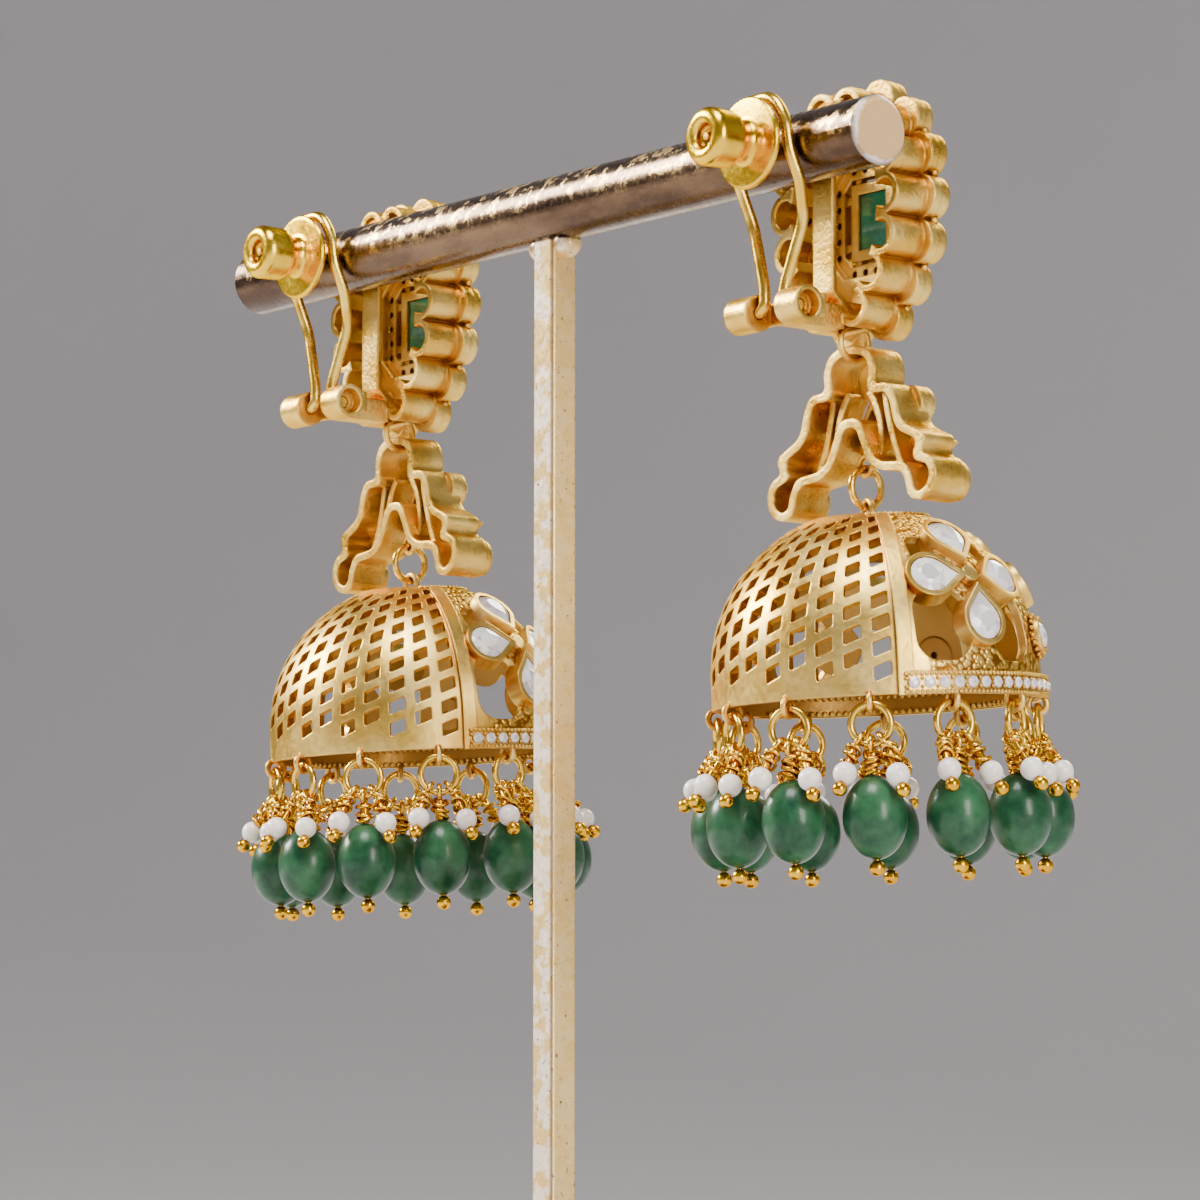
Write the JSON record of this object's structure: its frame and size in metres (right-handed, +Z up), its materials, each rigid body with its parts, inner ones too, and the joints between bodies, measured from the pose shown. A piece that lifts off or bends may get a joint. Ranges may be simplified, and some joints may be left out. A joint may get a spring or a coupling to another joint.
{
  "type": "pair of jhumka earrings on a display stand",
  "caption": "Bell-shaped jhumka earrings with stone-set tops, openwork drops, pierced bells and bead fringes, hung by their ear posts on a plain T-shaped display stand.",
  "frame": {"origin": "on the underside of the stand's base, straight under the middle of the post", "axes": "+Z up along the post, +X along the crossbar, the earrings' fronts face -Y"},
  "size_m": [0.1313, 0.067, 0.144],
  "materials": {
    "stand_metal": "steel rod and post with a rubbed bronze and gold finish, mottled and worn",
    "base_metal": "steel plate with the same rubbed bronze finish",
    "gold_plate": "matte antique gold plate, darker in the recesses",
    "gold_wire": "bright yellow gold plate on wire",
    "gold_clutch": "polished gold plate",
    "white_stone": "flat uncut white stones, cloudy, on foil",
    "green_stone": "deep green faceted stone",
    "green_bead": "polished translucent green quartz with flecks",
    "pearl": "small off-white seed pearls with a soft lustre"
  },
  "bodies": {
    "stand": {"stand_base": "base_metal", "stand_frame": "stand_metal", "left_plate": "gold_plate", "left_plate_stones": "white_stone", "left_centre_stone": "green_stone", "right_plate": "gold_plate", "right_plate_stones": "white_stone", "right_centre_stone": "green_stone"},
    "left_lever": {"left_omega_lever": "gold_wire"},
    "left_clutch": {"left_clutch": "gold_clutch"},
    "left_drop": {"left_link_ring": "gold_wire", "left_drop": "gold_plate", "left_drop_stones": "white_stone", "left_drop_bead": "gold_clutch"},
    "left_bell": {"left_bell_link": "gold_wire", "left_bell": "gold_plate", "left_bell_stones": "white_stone", "left_fringe_pins": "gold_wire", "left_pearls": "pearl", "left_bead_1": "green_bead", "left_bead_2": "green_bead", "left_bead_3": "green_bead", "left_bead_4": "green_bead", "left_bead_5": "green_bead", "left_bead_6": "green_bead", "left_bead_7": "green_bead", "left_bead_8": "green_bead", "left_bead_9": "green_bead", "left_bead_10": "green_bead", "left_bead_11": "green_bead", "left_bead_12": "green_bead"},
    "right_lever": {"right_omega_lever": "gold_wire"},
    "right_clutch": {"right_clutch": "gold_clutch"},
    "right_drop": {"right_link_ring": "gold_wire", "right_drop": "gold_plate", "right_drop_stones": "white_stone", "right_drop_bead": "gold_clutch"},
    "right_bell": {"right_bell_link": "gold_wire", "right_bell": "gold_plate", "right_bell_stones": "white_stone", "right_fringe_pins": "gold_wire", "right_pearls": "pearl", "right_bead_1": "green_bead", "right_bead_2": "green_bead", "right_bead_3": "green_bead", "right_bead_4": "green_bead", "right_bead_5": "green_bead", "right_bead_6": "green_bead", "right_bead_7": "green_bead", "right_bead_8": "green_bead", "right_bead_9": "green_bead", "right_bead_10": "green_bead", "right_bead_11": "green_bead", "right_bead_12": "green_bead"}
  },
  "joints": [
    {"name": "left_lever_hinge", "type": "hinge", "parent": "stand", "child": "left_lever", "pos_m": [-0.04315, 0.003, 0.1167], "axis": [-1, 0, 0], "range_deg": [0, 45]},
    {"name": "left_clutch_slide", "type": "slide", "parent": "stand", "child": "left_clutch", "axis": [0, 1, 0], "range_m": [0, 0.0186]},
    {"name": "left_drop_swing", "type": "hinge", "parent": "stand", "child": "left_drop", "pos_m": [-0.04315, -0.0088, 0.11555], "axis": [1, 0, 0], "range_deg": [-15, 15]},
    {"name": "left_bell_swing", "type": "hinge", "parent": "left_drop", "child": "left_bell", "pos_m": [-0.04315, -0.0105, 0.0995], "axis": [1, 0, 0], "range_deg": [-10, 10]},
    {"name": "right_lever_hinge", "type": "hinge", "parent": "stand", "child": "right_lever", "pos_m": [0.04315, 0.003, 0.1167], "axis": [-1, 0, 0], "range_deg": [0, 45]},
    {"name": "right_clutch_slide", "type": "slide", "parent": "stand", "child": "right_clutch", "axis": [0, 1, 0], "range_m": [0, 0.0186]},
    {"name": "right_drop_swing", "type": "hinge", "parent": "stand", "child": "right_drop", "pos_m": [0.04315, -0.0088, 0.11555], "axis": [1, 0, 0], "range_deg": [-15, 15]},
    {"name": "right_bell_swing", "type": "hinge", "parent": "right_drop", "child": "right_bell", "pos_m": [0.04306, -0.0105, 0.0995], "axis": [0.9986, -0.0523, 0], "range_deg": [-10, 10]}
  ],
  "couplings": [
    {"joint": "left_clutch_slide", "follows": "left_lever_hinge", "m_per_rad": 0.0235},
    {"joint": "right_clutch_slide", "follows": "right_lever_hinge", "m_per_rad": 0.0235}
  ]
}
